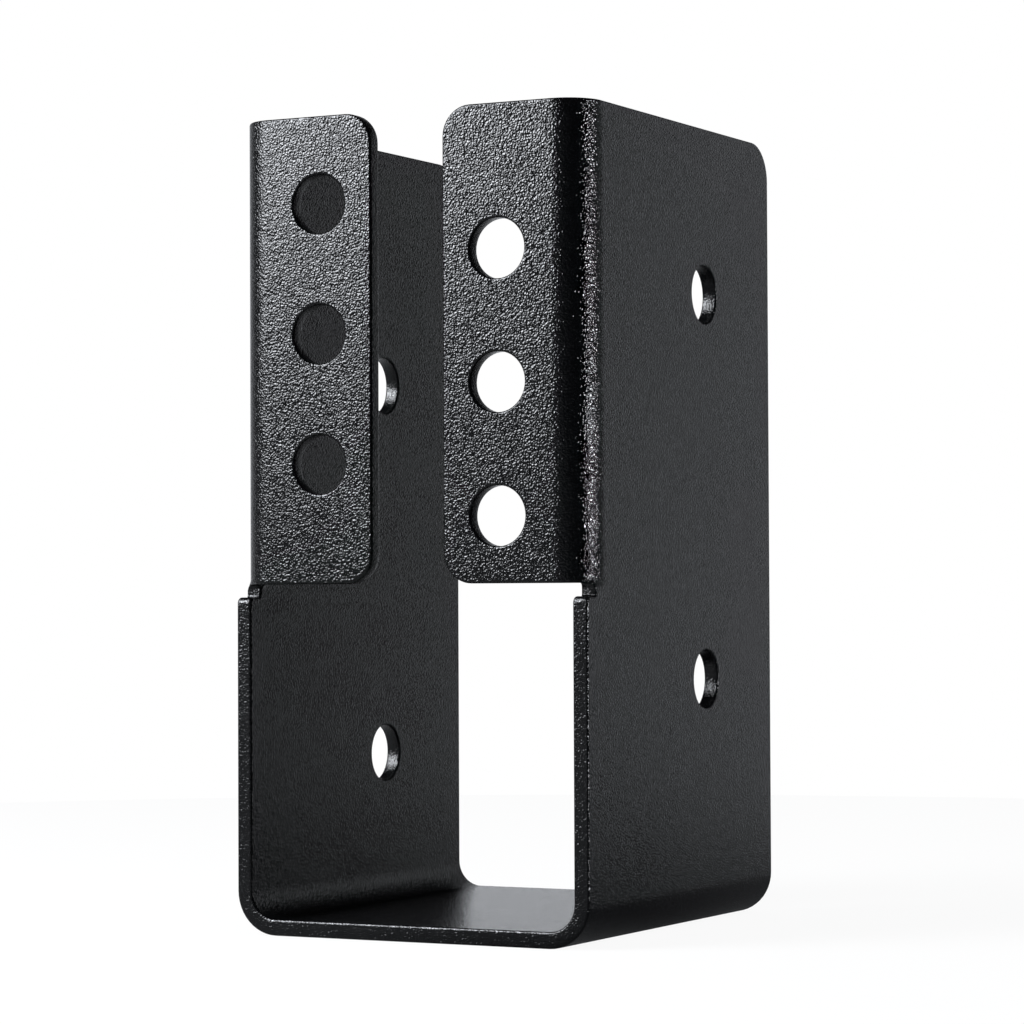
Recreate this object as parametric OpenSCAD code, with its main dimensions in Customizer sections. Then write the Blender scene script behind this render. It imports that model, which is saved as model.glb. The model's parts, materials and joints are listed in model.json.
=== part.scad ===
// Concealed joist hanger: one sheet of steel, cut, punched and folded.
// Two side plates stand on a seat, and the front edge of each plate is folded
// inwards into a nailing flange. The flanges lie behind the end of the joist,
// so none of them shows once the joist is in.
// X runs across the joist, Y from the front (the face that is fixed to the
// beam) to the back, and Z up. The origin is in the middle of the seat's
// underside.

/* [Sheet] */
// Thickness of the coated sheet
sheet_t = 1.8; // [1.2:0.1:2.4]
// Inside radius of the two folds between the seat and the side plates
seat_fold_r = 3; // [1.5:0.1:5]
// Inside radius of the fold between a side plate and its flange
flange_fold_r = 2.3; // [1.5:0.1:3]

/* [Channel] */
// Clear width between the side plates, for the joist
joist_w = 39.7; // [36:0.1:60]
// Height of the side plates over the underside of the seat
plate_h = 90; // [84:1:140]
// Depth of the seat and side plates, front to back
plate_d = 48.6; // [40:0.1:80]
// Radius of the upper back corner of each side plate
back_corner_r = 4.3; // [1:0.1:8]

/* [Flanges] */
// Height of the flanges, measured down from the top edge
flange_h = 51.4; // [48:0.1:64]
// Gap between the free edges of the two flanges
flange_gap = 8.8; // [6:0.1:14]
// Radius of the two free corners of each flange
flange_corner_r = 3.3; // [0.5:0.1:5]

/* [Relief notches] */
// Height of the notch that frees the flange from the leg below it
notch_h = 1.4; // [1:0.1:2.5]
// Depth of the notch behind the front face
notch_d = 2.1; // [1.5:0.1:3]
// Radius of the upper front corner of each leg
leg_corner_r = 0.7; // [0.2:0.1:1.4]

/* [Flange holes] */
// Number of holes in each flange
flange_hole_count = 3; // [1:1:3]
// Diameter of the holes in the flanges
flange_hole_d = 6.5; // [4:0.1:8]
// Distance from the free edge of a flange to the centres of its holes
flange_hole_edge = 6.6; // [5.5:0.1:8]
// Distance from the top edge to the highest hole of the left flange
flange_hole_top = 9.7; // [7:0.1:11]
// Distance between the holes of one flange
flange_hole_pitch = 14.3; // [10:0.1:15]
// How far the right flange's holes sit below the left flange's
flange_hole_stagger = 5.9; // [0:0.1:7]

/* [Side holes] */
// Diameter of the holes in the side plates
side_hole_d = 6.5; // [4:0.1:8]
// Distance from the back edge of a plate to the centres of its holes
side_hole_back = 18.3; // [8:0.1:24]
// Height of the left plate's lower hole over the underside of the seat
side_hole_low = 18.8; // [14:0.1:24]
// Distance between the two holes of one plate
side_hole_pitch = 43.4; // [20:0.1:48]
// How far the right plate's holes sit above the left plate's
side_hole_stagger = 9; // [0:0.1:10]

/* [Hidden] */
$fn = 96;
// How far a cutter reaches past the sheet it cuts
over = 1;
// How far the foot of a fold's run-out passes the flat of the plate
runout_spare = 0.2;
LEFT = -1;
RIGHT = 1;
BOTTOM = -1;
TOP = 1;
outer_w = joist_w + 2 * sheet_t;
seat_fold_out = seat_fold_r + sheet_t;
flange_fold_out = flange_fold_r + sheet_t;
flange_z = plate_h - flange_h;
leg_top_z = flange_z - notch_h;
flange_hole_x = flange_gap / 2 + flange_hole_edge;
side_hole_y = plate_d - side_hole_back;

// A rectangle w wide and h high that stands centred on the X axis, with its
// two lower corners rounded to radius r.
module round_footed(w, h, r) {
  intersection() {
    translate([-w / 2, 0]) square([w, h]);
    union() {
      translate([-w / 2, r]) square([w, h]);
      translate([r - w / 2, 0]) square([w - 2 * r, h]);
      for (side = [LEFT, RIGHT])
        translate([side * (w / 2 - r), r]) circle(r);
    }
  }
}

// The sheet folded around two corners: the section of a U that is h high.
module folded_u(h, inside_r) {
  difference() {
    round_footed(outer_w, h, inside_r + sheet_t);
    translate([0, sheet_t]) round_footed(joist_w, h, inside_r);
  }
}

// Seat and side plates: a U section that runs from front to back.
module channel() {
  translate([0, plate_d, 0]) rotate([90, 0, 0])
    linear_extrude(plate_d) folded_u(plate_h, seat_fold_r);
}

// The room that the flanges and their folds take out of the channel's front.
module flange_zone() {
  translate([-outer_w / 2 - over, -over, flange_z])
    cube([outer_w + 2 * over, flange_fold_out + over, flange_h + over]);
}

// Both flanges and their folds: the same U, seen from above, with its middle
// taken out for the gap.
module flanges() {
  translate([0, 0, flange_z]) linear_extrude(flange_h) difference() {
    folded_u(flange_fold_out, flange_fold_r);
    translate([-flange_gap / 2, -over]) square([flange_gap, sheet_t + 2 * over]);
  }
}

// What is trimmed off a square corner to round it: the corner of a square
// outside a circle of radius r about the origin.
module corner_trim(r) {
  difference() {
    square(r + over);
    circle(r);
  }
}

// Rounds the two free corners of one flange, as they are seen from the front.
module flange_corners(side) {
  arc_x = side * (flange_gap / 2 + flange_corner_r);
  for (end = [BOTTOM, TOP])
    translate([arc_x, sheet_t + over, end == TOP ? plate_h - flange_corner_r : flange_z + flange_corner_r])
      rotate([90, 0, 0]) linear_extrude(sheet_t + 2 * over)
        scale([-side, end]) corner_trim(flange_corner_r);
}

// Turns a flat shape drawn in Y and Z into a cutter through one side plate.
module through_plate(side) {
  translate([side * (outer_w - sheet_t) / 2 - sheet_t / 2 - over, 0, 0])
    rotate([90, 0, 90]) linear_extrude(sheet_t + 2 * over) children();
}

// The relief notch between the flange and the leg, with the leg's corner.
module notch(side) {
  through_plate(side) {
    translate([-over, leg_top_z]) square([notch_d + over, notch_h]);
    translate([leg_corner_r, leg_top_z - leg_corner_r]) mirror([1, 0]) corner_trim(leg_corner_r);
  }
}

// Below the fold the plate is flat again. Over the height of the notch its
// outside runs out from the fold's curve to the flat, along a cone that starts
// a little wider than the plate at the end of the notch.
module fold_runout(side) {
  axis_x = side * (outer_w / 2 - flange_fold_out);
  foot_r = norm([flange_fold_out, flange_fold_out - notch_d]) + runout_spare;
  difference() {
    translate([side == RIGHT ? axis_x : axis_x - flange_fold_out - over, 0, leg_top_z])
      cube([flange_fold_out + over, flange_fold_out, notch_h]);
    translate([axis_x, flange_fold_out, leg_top_z])
      cylinder(h = notch_h, r1 = foot_r, r2 = flange_fold_out);
  }
}

// The row of holes down one flange.
module flange_holes(side) {
  drop = flange_hole_top + (side == RIGHT ? flange_hole_stagger : 0);
  for (i = [0 : flange_hole_count - 1])
    translate([side * flange_hole_x, -over, plate_h - drop - i * flange_hole_pitch])
      rotate([-90, 0, 0]) cylinder(h = sheet_t + 2 * over, d = flange_hole_d);
}

// The two holes of one side plate.
module side_holes(side) {
  low = side_hole_low + (side == RIGHT ? side_hole_stagger : 0);
  for (i = [0, 1])
    translate([side * (outer_w / 2 + over), side_hole_y, low + i * side_hole_pitch])
      rotate([0, -side * 90, 0]) cylinder(h = sheet_t + 2 * over, d = side_hole_d);
}

module hanger() {
  color([0.11, 0.11, 0.12]) translate([0, -plate_d / 2, 0]) difference() {
    union() {
      difference() {
        channel();
        flange_zone();
      }
      flanges();
    }
    for (side = [LEFT, RIGHT]) {
      flange_corners(side);
      notch(side);
      fold_runout(side);
      flange_holes(side);
      side_holes(side);
      through_plate(side)
        translate([plate_d - back_corner_r, plate_h - back_corner_r]) corner_trim(back_corner_r);
    }
  }
}

hanger();
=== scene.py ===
# %% [markdown]
# # A concealed joist hanger, folded from one sheet
#
# The real object is one piece of zinc-coated sheet steel. It is cut and punched flat, folded
# four times, and then sprayed with a black powder that melts into a textured coat. The solid
# model of it already exists, with true sizes. This script builds the finish: the soft edges
# that a coat leaves, the way the sheet gives beside its relief notches, and the fine leathery
# grain, under soft studio light.

import json
import math

import bmesh
import bpy
from mathutils import Matrix, Vector


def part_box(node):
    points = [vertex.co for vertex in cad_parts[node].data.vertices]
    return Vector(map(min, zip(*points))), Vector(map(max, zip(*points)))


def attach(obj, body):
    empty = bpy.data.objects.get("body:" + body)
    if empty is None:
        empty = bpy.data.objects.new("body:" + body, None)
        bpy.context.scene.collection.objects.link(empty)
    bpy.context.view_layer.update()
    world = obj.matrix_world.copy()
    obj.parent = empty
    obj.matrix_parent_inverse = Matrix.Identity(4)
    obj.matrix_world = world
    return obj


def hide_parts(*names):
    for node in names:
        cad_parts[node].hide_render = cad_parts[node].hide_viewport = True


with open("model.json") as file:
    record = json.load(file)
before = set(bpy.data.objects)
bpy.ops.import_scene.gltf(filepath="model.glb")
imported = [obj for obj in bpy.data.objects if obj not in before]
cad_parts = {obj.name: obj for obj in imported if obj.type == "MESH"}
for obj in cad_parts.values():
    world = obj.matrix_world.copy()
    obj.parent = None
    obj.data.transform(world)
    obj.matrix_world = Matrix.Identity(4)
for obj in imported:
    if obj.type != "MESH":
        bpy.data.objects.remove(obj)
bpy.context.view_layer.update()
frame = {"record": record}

# %% [markdown]
# ## Sizes
#
# The outside comes from the solid's own box and the holes from the mounts in its record, so
# the finished sheet can't drift away from the solid. What the box can't tell, such as the
# sheet's thickness and the radii of the folds, is named here once. Points that are nearer to
# each other than SAME_PLACE are taken to be one.

# %% Driving sizes, in metres
MM = 0.001
SHEET = 1.8 * MM
SEAT_FOLD_R = 3.0 * MM
FLANGE_FOLD_R = 2.3 * MM
FLANGE_HEIGHT = 51.4 * MM
FLANGE_GAP = 8.8 * MM
FLANGE_CORNER_R = 3.3 * MM
BACK_CORNER_R = 4.3 * MM
NOTCH_HEIGHT = 1.4 * MM
NOTCH_DEPTH = 2.1 * MM
LEG_CORNER_R = 0.7 * MM
NOTCH_CORNER_R = 0.25 * MM
EDGE_R = 0.28 * MM
SAME_PLACE = 0.001 * MM

low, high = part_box("hanger")
WIDTH, DEPTH, HEIGHT = high - low
FRONT = low.y
print(f"outside, mm: {WIDTH / MM:.2f} wide, {DEPTH / MM:.2f} deep, {HEIGHT / MM:.2f} high")

# %% [markdown]
# ## The flat blank
#
# A folded sheet could be made as solid walls that are joined and bevelled. But then each fold,
# hole and notch is a separate fight. The shop's own order is easier: draw the flat blank, cut
# it, give it thickness, and fold it last. A fold then bends the holes, rounded edges and
# notches with it, and the sheet keeps one thickness everywhere.
#
# On the blank, *s* runs along the U, from the middle of the seat up a side plate, and *v*
# runs from the front edge to the back. A fold uses up a quarter circle at the middle of the
# sheet's thickness, and that length is what places everything beyond it.

# %% Where things lie on the blank
def fold_length(inside_r):
    """How much of the flat sheet one square fold uses, at the middle of its thickness."""
    return math.pi / 2 * (inside_r + SHEET / 2)


seat_fold_start = WIDTH / 2 - SHEET - SEAT_FOLD_R
seat_fold_end = seat_fold_start + fold_length(SEAT_FOLD_R)
plate_foot = SEAT_FOLD_R + SHEET


def along_plate(z):
    """The place on the blank of a point at height z on a side plate."""
    return seat_fold_end + z - plate_foot


plate_end = along_plate(HEIGHT)
flange_foot = along_plate(HEIGHT - FLANGE_HEIGHT)
leg_top = flange_foot - NOTCH_HEIGHT
flange_fold_start = FLANGE_FOLD_R + SHEET
flange_fold_end = flange_fold_start - fold_length(FLANGE_FOLD_R)
flange_flat = WIDTH / 2 - flange_fold_start - FLANGE_GAP / 2
flange_edge = flange_fold_end - flange_flat
print(f"blank, mm: {2 * plate_end / MM:.1f} long and {(DEPTH - flange_edge) / MM:.1f} wide")

# %% [markdown]
# The outline starts as straight lines with square corners. Bevelling a corner's vertex rounds
# it to a true arc, which is just what a corner radius on a drawing means.

# %% Outline of the blank
ARC_STEPS = 12
HALF_OUTLINE = [
    # s, v, corner radius
    (leg_top, 0.0, LEG_CORNER_R),
    (leg_top, NOTCH_DEPTH, NOTCH_CORNER_R),
    (flange_foot, NOTCH_DEPTH, NOTCH_CORNER_R),
    (flange_foot, flange_edge, FLANGE_CORNER_R),
    (plate_end, flange_edge, FLANGE_CORNER_R),
    (plate_end, DEPTH, BACK_CORNER_R),
]


def blank_outline():
    """A mesh that holds only the blank's outline, with its corners rounded."""
    blank = bmesh.new()
    left = [(-s, v, r) for s, v, r in reversed(HALF_OUTLINE)]
    corners = [(blank.verts.new((s, v, 0)), r) for s, v, r in HALF_OUTLINE + left]
    blank.faces.new([vert for vert, _ in corners])
    for vert, radius in corners:
        bmesh.ops.bevel(blank, geom=[vert], offset=radius, offset_type="OFFSET", affect="VERTICES",
                        segments=ARC_STEPS, profile=0.5, material=-1)
    return blank


blank = blank_outline()
print("outline:", len(blank.verts), "points")

# %% [markdown]
# ## The punched holes
#
# Ten round holes are punched through the flat blank. The record states them as pairs and
# single bores, in the folded part's own coordinates, so each is unfolded to its place here.

# %% Punch the holes
HOLE_STEPS = 48


def hole_heights(mount):
    """The heights of a mount's holes: two in a pair, one above the other, or one bore."""
    middle = mount["pos_m"][2]
    half_pitch = mount["dims"].get("spacing_y_mm", 0) * MM / 2
    return [middle + half_pitch, middle - half_pitch] if half_pitch else [middle]


def unfolded(mount, z):
    """The place on the blank of a hole at height z: along the U, and from front to back."""
    x, y, _ = mount["pos_m"]
    side = 1 if x > 0 else -1
    in_flange = mount["axis"][1] != 0
    across = flange_edge + abs(x) - FLANGE_GAP / 2 if in_flange else y - FRONT
    return side * along_plate(z), across


punched = [m for m in frame["record"]["mounts"] if m["kind"] in ("bolt_pattern", "bore")]
for mount in punched:
    radius = mount["dims"].get("hole_r_mm") or mount["dims"]["r_mm"]
    for z in hole_heights(mount):
        s, v = unfolded(mount, z)
        bmesh.ops.create_circle(blank, cap_ends=False, segments=HOLE_STEPS, radius=radius * MM,
                                matrix=Matrix.Translation((s, v, 0)))
        print(f"{mount['name']}: hole at s {s / MM:.1f}, v {v / MM:.1f} mm")

# %% [markdown]
# The outline's face has no holes yet. It is taken away, and the loops of edges that are left
# are filled together, which leaves the inner loops open.

# %% Fill the blank round its holes
bmesh.ops.delete(blank, geom=blank.faces[:], context="FACES_ONLY")
bmesh.ops.triangle_fill(blank, use_beauty=True, use_dissolve=False, edges=blank.edges[:],
                        normal=(0, 0, 1))
bmesh.ops.recalc_face_normals(blank, faces=blank.faces[:])
if sum(face.normal.z for face in blank.faces) < 0:
    bmesh.ops.reverse_faces(blank, faces=blank.faces[:])
area = sum(face.calc_area() for face in blank.faces)
print(f"blank filled: {len(blank.faces)} faces, {area * 1e4:.2f} square cm")

# %% [markdown]
# ## Thickness and soft edges
#
# A coat that has melted and flowed leaves no sharp edge: every rim has a radius of about a
# quarter of a millimetre, and it catches a thin line of light. A bevel would have to cope with
# the long triangles of the fill. Insetting the whole face does not: each inset lays one clean
# ring of faces along every rim, and a few rings that also climb make a quarter circle.

# %% Round the rims and close the sheet
EDGE_STEPS = 4
bmesh.ops.translate(blank, verts=blank.verts[:], vec=(0, 0, SHEET / 2 - EDGE_R))
top = blank.faces[:]
turns = [math.pi / 2 * i / EDGE_STEPS for i in range(EDGE_STEPS + 1)]
for before, after in zip(turns, turns[1:]):
    bmesh.ops.inset_region(blank, faces=top, use_boundary=True, use_even_offset=True,
                           thickness=EDGE_R * (math.cos(before) - math.cos(after)),
                           depth=EDGE_R * (math.sin(after) - math.sin(before)))
rim = [edge for edge in blank.edges if edge.is_boundary]
wall = bmesh.ops.extrude_edge_only(blank, edges=rim)["geom"]
for part in wall:
    if isinstance(part, bmesh.types.BMVert):
        part.co.z = 0
bmesh.ops.mirror(blank, geom=blank.verts[:] + blank.edges[:] + blank.faces[:], axis="Z",
                 merge_dist=SAME_PLACE)
bmesh.ops.recalc_face_normals(blank, faces=blank.faces[:])
open_edges = sum(1 for edge in blank.edges if not edge.is_manifold)
print(f"flat sheet: {len(blank.faces)} faces, {open_edges} open edges")

# %% [markdown]
# ## Folding it up
#
# A fold bends only what has edges to bend along, so the sheet is first scored: a plane is
# swept across each fold in small steps and cuts the faces it meets. Every cut face stays
# joined to its neighbours, so the sheet stays closed.
#
# The flanges need one more set of cuts. A real press can't fold the last millimetre beside a
# relief notch cleanly: the sheet there is still held by the flat leg, and the fold runs out
# into it as a small twisted flare. The rows of cuts beside each notch let that flare form. It
# starts at the middle of the notch's height, and its rows begin at the notch's lower edge.

# %% Score the folds
FOLD_STEPS = 12
CUT_TOLERANCE = 0.0001 * MM
RUN_OUT_LENGTH = 1.2 * MM
RUN_OUT_MARGIN = 0.4 * MM
RUN_OUT_STEP = 0.2 * MM

run_out_start = flange_foot - NOTCH_HEIGHT / 2
run_out_end = run_out_start + RUN_OUT_LENGTH
run_out_depth = flange_fold_start + RUN_OUT_MARGIN


def score(sheet, place, across, wanted):
    """Cut the faces that are wanted where a plane through a place meets them.

    The geometry is listed without repeats and in a fixed order, so each run cuts alike.
    """
    faces = [face for face in sheet.faces if wanted(face)]
    edges = [edge for face in faces for edge in face.edges]
    verts = [vert for face in faces for vert in face.verts]
    bmesh.ops.bisect_plane(sheet, geom=list(dict.fromkeys(faces + edges + verts)), plane_co=place,
                           plane_no=across, dist=CUT_TOLERANCE)


def in_flange(face):
    """Whether a face reaches above the legs, where the sheet folds into a flange."""
    return max(abs(vert.co.x) for vert in face.verts) > leg_top + SAME_PLACE


def beside_notch(face):
    """Whether a face lies wholly in the strip along the front edge that the flare may use."""
    return in_flange(face) and max(vert.co.y for vert in face.verts) < run_out_depth + SAME_PLACE


for i in range(FOLD_STEPS + 1):
    share = i / FOLD_STEPS
    for side in (-1, 1):
        s = side * (seat_fold_start + share * fold_length(SEAT_FOLD_R))
        score(blank, (s, 0, 0), (1, 0, 0), lambda face: True)
    v = flange_fold_start - share * fold_length(FLANGE_FOLD_R)
    score(blank, (0, v, 0), (0, 1, 0), in_flange)
score(blank, (0, run_out_depth, 0), (0, 1, 0), in_flange)
rows = math.ceil((RUN_OUT_LENGTH + NOTCH_HEIGHT) / RUN_OUT_STEP)
for i in range(rows + 1):
    for side in (-1, 1):
        s = side * (leg_top + i * RUN_OUT_STEP)
        score(blank, (s, 0, 0), (1, 0, 0), beside_notch)
print(f"scored sheet: {len(blank.faces)} faces, {rows + 1} rows beside each notch")

# %% [markdown]
# A fold is a formula rather than a tool here: a point some way past the fold's start moves
# round an arc about the fold's centre, and what lies past the arc goes on straight. The same
# formula serves both kinds of fold, first for the flanges and then for the side plates.
#
# Beside a notch each point is a blend of two places, the folded one and the flat one. The leg
# holds the sheet flat below the notch, and above it the hold fades with the height. It starts
# a little behind the front edge, which is free, and is full at the notch's depth.
#
# Only the flat sheet tells its cut edges from its faces by height alone. So each vertex keeps
# that as a value, 0 on the faces and 1 on the cut edges, before it moves.

# %% Fold the sheet
HOLD_START = 0.5 * MM


def folded(distance, height, inside_r):
    """How far ahead and how high a point ends.

    It starts at a distance past the fold's start and at a height above the sheet's middle.
    """
    middle_r = inside_r + SHEET / 2
    angle = min(max(distance / middle_r, 0), math.pi / 2)
    past = max(distance - fold_length(inside_r), 0)
    ahead = min(distance, 0) + (middle_r - height) * math.sin(angle)
    return ahead, middle_r - (middle_r - height) * math.cos(angle) + past


def smooth_step(value, start, end):
    """Rises from 0 at start to 1 at end, with soft ends."""
    t = min(max((value - start) / (end - start), 0), 1)
    return t * t * (3 - 2 * t)


def held_flat(s, v):
    """How much the flat leg holds a point of the sheet back from the flange's fold."""
    if s < run_out_start:
        return 1
    low_down = 1 - smooth_step(s, run_out_start, run_out_end)
    return low_down * smooth_step(v, HOLD_START, NOTCH_DEPTH)


cut_edge = blank.verts.layers.float.new("cut_edge")
for vert in blank.verts:
    s, v, height = vert.co
    vert[cut_edge] = min((SHEET / 2 - abs(height)) / EDGE_R, 1)
    ahead, up = folded(flange_fold_start - v, height, FLANGE_FOLD_R)
    hold = held_flat(abs(s), v)
    v = (flange_fold_start - ahead) * (1 - hold) + v * hold
    height = up * (1 - hold) + height * hold
    ahead, up = folded(abs(s) - seat_fold_start, height, SEAT_FOLD_R)
    vert.co = (math.copysign(seat_fold_start + ahead, s), FRONT + v, SHEET / 2 + up)

open_edges = sum(1 for edge in blank.edges if not edge.is_manifold)
volume = blank.calc_volume(signed=True)
print(f"folded sheet: {open_edges} open edges, {volume * 1e9:.0f} cubic mm")

# %% [markdown]
# The folded sheet becomes the piece that is seen, in place of the solid. Its faces are shaded
# smooth, and the Weighted Normal modifier lets the wide flat faces decide the shading, so that
# each flat stays flat right up to its rounded rim.

# %% Make the piece
mesh = bpy.data.meshes.new("folded_sheet")
blank.to_mesh(mesh)
blank.free()
mesh.shade_smooth()
hanger = bpy.data.objects.new("folded_sheet", mesh)
bpy.context.scene.collection.objects.link(hanger)
hanger.modifiers.new("Flat faces lead", "WEIGHTED_NORMAL")
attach(hanger, "root")
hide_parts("hanger")
print("piece:", len(mesh.polygons), "faces")

# %% [markdown]
# ## Writing shader maths
#
# A material is a web of nodes. Placing and wiring each one by hand hides the sums that they
# do, so one small class wraps a node's output: adding or multiplying two of them makes the
# Math node that does it, and a formula in the script reads as a formula. Colours need a Mix
# node instead. It has sockets for each kind of data, and the numbers name the colour ones.

# %% A node's output that can be reckoned with
class Wire:
    """An output in a node tree. Arithmetic on it adds the Math nodes that work it out."""

    def __init__(self, tree, socket=None):
        self.tree = tree
        self.socket = socket

    def node(self, kind, settings=None, inputs=None, output=0):
        """Add a node, set it up, feed its inputs, and return one of its outputs."""
        node = self.tree.nodes.new("ShaderNode" + kind)
        for name, value in (settings or {}).items():
            setattr(node, name, value)
        for name, value in (inputs or {}).items():
            if isinstance(value, Wire):
                self.tree.links.new(value.socket, node.inputs[name])
            else:
                node.inputs[name].default_value = value
        return Wire(self.tree, node.outputs[output] if node.outputs else None)

    def reckoned(self, operation, first, second):
        """The result of a Math node on two values."""
        return self.node("Math", {"operation": operation}, {0: first, 1: second})

    def __add__(self, other):
        return self.reckoned("ADD", self, other)

    def __sub__(self, other):
        return self.reckoned("SUBTRACT", self, other)

    def __rsub__(self, other):
        return self.reckoned("SUBTRACT", other, self)

    def __mul__(self, other):
        return self.reckoned("MULTIPLY", self, other)

    __radd__ = __add__
    __rmul__ = __mul__


def new_tree(owner):
    """An empty node tree on a material or a world, as a wire to start from."""
    owner.use_nodes = True
    owner.node_tree.nodes.clear()
    return Wire(owner.node_tree)


FIRST_COLOUR = 6
SECOND_COLOUR = 7
MIXED_COLOUR = 2


def blend(tree, share, first, second):
    """A colour that goes from the first to the second as the share goes from 0 to 1."""
    return tree.node("Mix", {"data_type": "RGBA"}, {
        "Factor": share, FIRST_COLOUR: first, SECOND_COLOUR: second}, MIXED_COLOUR)


# %% [markdown]
# ## The powder coat
#
# Textured powder shrinks into a fine leathery grain as it bakes, with about five wrinkles to
# the millimetre. On the real piece each wrinkle mirrors a lamp from one flank only, so the coat
# sparkles beside a lamp's reflection and looks even where the room is even. An image of grains
# would repeat and would need unwrapping. Noise in the object's own space needs neither, and
# goes round the folds without a seam, so one fine noise drives a Bump node. A second noise,
# seven times as wide, only shifts the shade and the gloss a little. Along the cut edges the
# coat lies thinner and duller, so the mesh's own cut_edge value weakens the grain and the gloss
# there.

# %% Powder coat
GRAIN = 0.195 * MM
GRAIN_HEIGHT = 0.07 * MM
GRAIN_BEND = 0.3
PATCH = 7 * GRAIN
ROUGHNESS = 0.10
ROUGHNESS_SPREAD = 0.06
EDGE_CALM = 0.28
EDGE_ROUGHER = 0.10
GLOSS_IOR = 1.5
DARK_COAT = (0.0012, 0.0013, 0.0015, 1)
PALE_COAT = (0.0022, 0.0023, 0.0026, 1)


def powder_coat():
    """The black coat: a fine wrinkled grain over a deep, half-glossy black."""
    material = bpy.data.materials.new("textured_black_powder")
    tree = new_tree(material)
    place = tree.node("TexCoord", output="Object")
    grains = tree.node("TexNoise", {}, {
        "Vector": place, "Scale": 1 / GRAIN, "Detail": 0.0, "Distortion": GRAIN_BEND}, "Fac")
    patches = tree.node("TexNoise", {}, {
        "Vector": place, "Scale": 1 / PATCH, "Detail": 1.0}, "Fac")
    cut_edge = tree.node("Attribute", {"attribute_name": "cut_edge"}, output="Fac")
    relief = grains * (1 - cut_edge * EDGE_CALM)
    bump = tree.node("Bump", {}, {"Strength": 1.0, "Distance": GRAIN_HEIGHT, "Height": relief})
    roughness = ROUGHNESS + (patches - grains) * ROUGHNESS_SPREAD + cut_edge * EDGE_ROUGHER
    shade = blend(tree, patches, DARK_COAT, PALE_COAT)
    shader = tree.node("BsdfPrincipled", {}, {
        "Base Color": shade, "Roughness": roughness, "Normal": bump, "IOR": GLOSS_IOR})
    tree.node("OutputMaterial", {}, {"Surface": shader})
    return material


mesh.materials.append(powder_coat())
print("powder coat: grain", round(GRAIN / MM, 2), "mm")

# %% [markdown]
# ## The studio
#
# The photograph has a white sweep behind the piece and a dim room on the camera's side, which
# is why the black faces stay dark while their grain shines. The world gives both. The camera
# sees plain white. Reflections see the sweep, a paler wall beside it, a dim table at the front
# left, and almost nothing else in front or overhead. The light is a little cool, so a colour
# picked by the kind of ray keeps the background itself pure white.
#
# Each part of the room has a glow, where 1 is white, and a span over which it fades in or out.
# A span says how far a direction points towards that side, or upward: 1 is straight towards
# it, and 0 is at a right angle to it.

# %% The world
COOL = (0.92, 0.95, 1.0, 1)
WHITE = (1, 1, 1, 1)
SWEEP = Vector((-0.456, 0.890, 0.0))
WALL_GLOW = 0.46
WALL_SPAN = (0.5, 0.7)
SWEEP_GLOW = 0.36
SWEEP_SPAN = (0.9, 0.97)
SWEEP_RISE = (0.02, 0.3)
SWEEP_TOP_SHARE = 0.4
FRONT_LEFT = Vector((-0.8, -0.6, 0.0))
TABLE_GLOW = 0.26
TABLE_SPAN = (0.3, 0.8)
TABLE_EDGE = (-0.03, 0.04)
ABOVE_TABLE_SHARE = 0.35
CEILING_GLOW = 0.03
CEILING_SPAN = (0.2, 0.45)
FILL = 0.4


def rays(tree):
    """Which rays look at the background: straight, in a gloss, or through glass."""
    return [tree.node("LightPath", output=name)
            for name in ("Is Camera Ray", "Is Glossy Ray", "Is Transmission Ray")]


def fade(tree, value, span, first, last):
    """Goes softly from the first number to the last as the value goes over the span."""
    start, end = span
    return tree.node("MapRange", {"interpolation_type": "SMOOTHSTEP"}, {
        "Value": value, "From Min": start, "From Max": end, "To Min": first, "To Max": last})


def along(tree, place, way):
    """How far a place or a direction lies towards one side of the room."""
    return tree.node("VectorMath", {"operation": "DOT_PRODUCT"}, {0: place, 1: way}, "Value")


def background_colour(tree, camera):
    """Plain white to the camera, and cool in reflections."""
    return blend(tree, camera, COOL, WHITE)


def studio_world():
    """White to the camera, and in reflections a bright sweep in a dim room."""
    world = bpy.data.worlds.new("studio")
    tree = new_tree(world)
    camera, glossy, transmission = rays(tree)
    seen = glossy + transmission
    look = tree.node("TexCoord", output="Generated")
    facing = along(tree, look, SWEEP)
    upward = tree.node("SeparateXYZ", {}, {"Vector": look}, "Z")
    wall = fade(tree, facing, WALL_SPAN, 0, WALL_GLOW)
    sweep = fade(tree, facing, SWEEP_SPAN, 0, SWEEP_GLOW)
    sweep = sweep * fade(tree, upward, SWEEP_RISE, 1, SWEEP_TOP_SHARE)
    table = fade(tree, along(tree, look, FRONT_LEFT), TABLE_SPAN, 0, TABLE_GLOW)
    table = table * fade(tree, upward, TABLE_EDGE, 1, ABOVE_TABLE_SHARE)
    room = (wall + sweep + table) * fade(tree, upward, CEILING_SPAN, 1, CEILING_GLOW)
    strength = camera + seen * room + (1 - camera - seen) * FILL
    light = tree.node("Background", {}, {
        "Color": background_colour(tree, camera), "Strength": strength})
    tree.node("OutputWorld", {}, {"Surface": light})
    bpy.context.scene.world = world


studio_world()
print("world: sweep towards", tuple(SWEEP))

# %% [markdown]
# The piece stands on a round white floor. It could be a plain white plane, but a lit plane
# turns grey where the light falls off. This one glows white to the camera, with a small share
# of lit white mixed in, which is enough to keep the piece's soft shadow. In reflections its
# light and shade are painted into its glow by place: painted shade around the piece and in
# front of it, painted light that grows towards the sweep, and a dim painted glow on the front
# left half, in place of the lit table there. Its spans are in metres from the middle of the floor.

# %% The floor
FLOOR_R = 0.25
FLOOR_STEPS = 96
FLOOR_WHITE = (0.8, 0.8, 0.8, 1)
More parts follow.
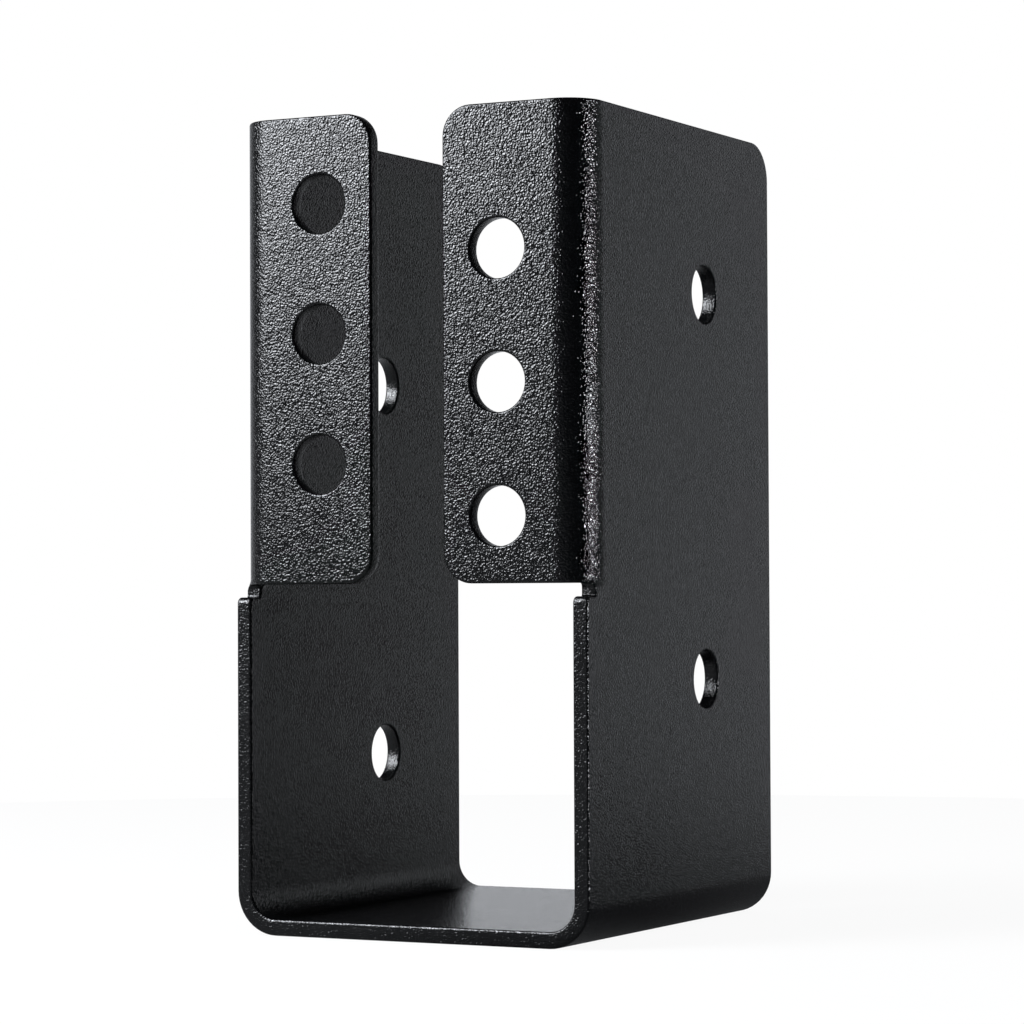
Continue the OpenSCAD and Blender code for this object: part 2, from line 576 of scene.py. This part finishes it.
# The floor's reflections are painted: painted shade around the piece, painted light towards the
# sweep, and a dim painted glow at the front left.
FLOOR_PAINTED_SHADE = 0.01
FLOOR_PAINTED_LIGHT = 0.52
FLOOR_PAINTED_SPAN = (-0.05, 0.25)
FRONT_LEFT_PAINTED_SPAN = (-0.02, 0.04)
SHADOW_SHARE = 0.07


def white_floor_material():
    """White to the camera with a trace of shadow, and with painted light and shade in reflections.
    """
    material = bpy.data.materials.new("white_floor")
    tree = new_tree(material)
    camera, glossy, transmission = rays(tree)
    seen = glossy + transmission
    spot = tree.node("TexCoord", output="Object")
    # Painted shade around the piece and in front of it, turning into painted light towards the
    # sweep; only glossy and transmission rays see it.
    behind = fade(tree, along(tree, spot, SWEEP), FLOOR_PAINTED_SPAN, FLOOR_PAINTED_SHADE, FLOOR_PAINTED_LIGHT)
    # A dim painted glow on the front-left half of the floor, seen only in reflections.
    front = fade(tree, along(tree, spot, FRONT_LEFT), FRONT_LEFT_PAINTED_SPAN, 0, TABLE_GLOW)
    glow = camera + seen * (behind + front)
    lit = tree.node("BsdfDiffuse", {}, {"Color": FLOOR_WHITE})
    glowing = tree.node("Emission", {}, {
        "Color": background_colour(tree, camera), "Strength": glow})
    mixed = tree.node("MixShader", {}, {
        "Fac": camera * (1 - SHADOW_SHARE) + seen, 1: lit, 2: glowing})
    tree.node("OutputMaterial", {}, {"Surface": mixed})
    return material


disc = bmesh.new()
bmesh.ops.create_circle(disc, cap_ends=True, segments=FLOOR_STEPS, radius=FLOOR_R)
floor_mesh = bpy.data.meshes.new("floor")
disc.to_mesh(floor_mesh)
disc.free()
floor_mesh.materials.append(white_floor_material())
floor = bpy.data.objects.new("floor", floor_mesh)
bpy.context.scene.collection.objects.link(floor)
print("floor:", round(2 * FLOOR_R, 2), "m across")

# %% [markdown]
# Four lamps do the rest. A soft upright one in front and to the left is what the flanges
# mirror: it stands near, so its reflection is strong at their tops and fades lower down. A
# small one in the midst of it is its hot centre, which turns a few of the grains white. A
# small one at the right draws the line of sparkle down the right-hand fold, and a wide faint
# one behind it keeps the back edges from going black. Each is placed by its direction from
# the piece, because a mirror-like coat cares about directions above all.

# %% Lamps
AIM = Vector((0, 0, 0.05))


def toward(azimuth, elevation, distance):
    """A place seen from the piece's foot, at azimuth 0 in front of it and at 90 to its right."""
    a, e = math.radians(azimuth), math.radians(elevation)
    return Vector((math.sin(a) * math.cos(e), -math.cos(a) * math.cos(e), math.sin(e))) * distance


def soft_lamp(name, azimuth, elevation, distance, size, watts):
    """A panel of cool light that faces the piece."""
    data = bpy.data.lights.new(name, "AREA")
    data.shape = "RECTANGLE"
    data.size, data.size_y = size
    data.energy = watts
    data.color = COOL[:3]
    lamp = bpy.data.objects.new(name, data)
    bpy.context.scene.collection.objects.link(lamp)
    lamp.location = toward(azimuth, elevation, distance)
    lamp.rotation_euler = (AIM - lamp.location).to_track_quat("-Z", "Y").to_euler()
    print(f"lamp {name}: {watts} W at {[round(v, 2) for v in lamp.location]}")


soft_lamp("front_left", azimuth=-42, elevation=38, distance=0.4, size=(0.21, 0.32), watts=2.15)
soft_lamp("hot_centre", azimuth=-40, elevation=34, distance=0.4, size=(0.1, 0.1), watts=0.6)
soft_lamp("right", azimuth=92, elevation=8, distance=0.4, size=(0.06, 0.06), watts=0.74)
soft_lamp("right_back", azimuth=122, elevation=10, distance=0.8, size=(0.45, 0.6), watts=0.26)

# %% [markdown]
# ## The camera
#
# The camera's place, turn and lens were fitted to the photograph from the sheet's corners and
# holes. It is turned about the upright axis, tilted a little up and rolled a trace.

# %% Camera
CAMERA_PLACE = Vector((0.18191, -0.34998, 0.03757))
CAMERA_TURN = math.radians(27.447)
CAMERA_TILT = math.radians(1.342)
CAMERA_ROLL = math.radians(-0.246)
SENSOR_WIDTH = 36
LENS = 121.47

lens = bpy.data.cameras.new("camera")
lens.sensor_width = SENSOR_WIDTH
lens.lens = LENS
camera = bpy.data.objects.new("camera", lens)
bpy.context.scene.collection.objects.link(camera)
turned = (Matrix.Rotation(CAMERA_TURN, 4, "Z") @ Matrix.Rotation(math.pi / 2 + CAMERA_TILT, 4, "X")
          @ Matrix.Rotation(CAMERA_ROLL, 4, "Z"))
camera.matrix_world = Matrix.Translation(CAMERA_PLACE) @ turned
bpy.context.scene.camera = camera
bpy.context.scene.view_settings.view_transform = "Standard"
print("camera looks along", [round(v, 4) for v in -turned.col[2]][:3])
print("camera's right", [round(v, 4) for v in turned.col[0]][:3])
print("camera's up", [round(v, 4) for v in turned.col[1]][:3])
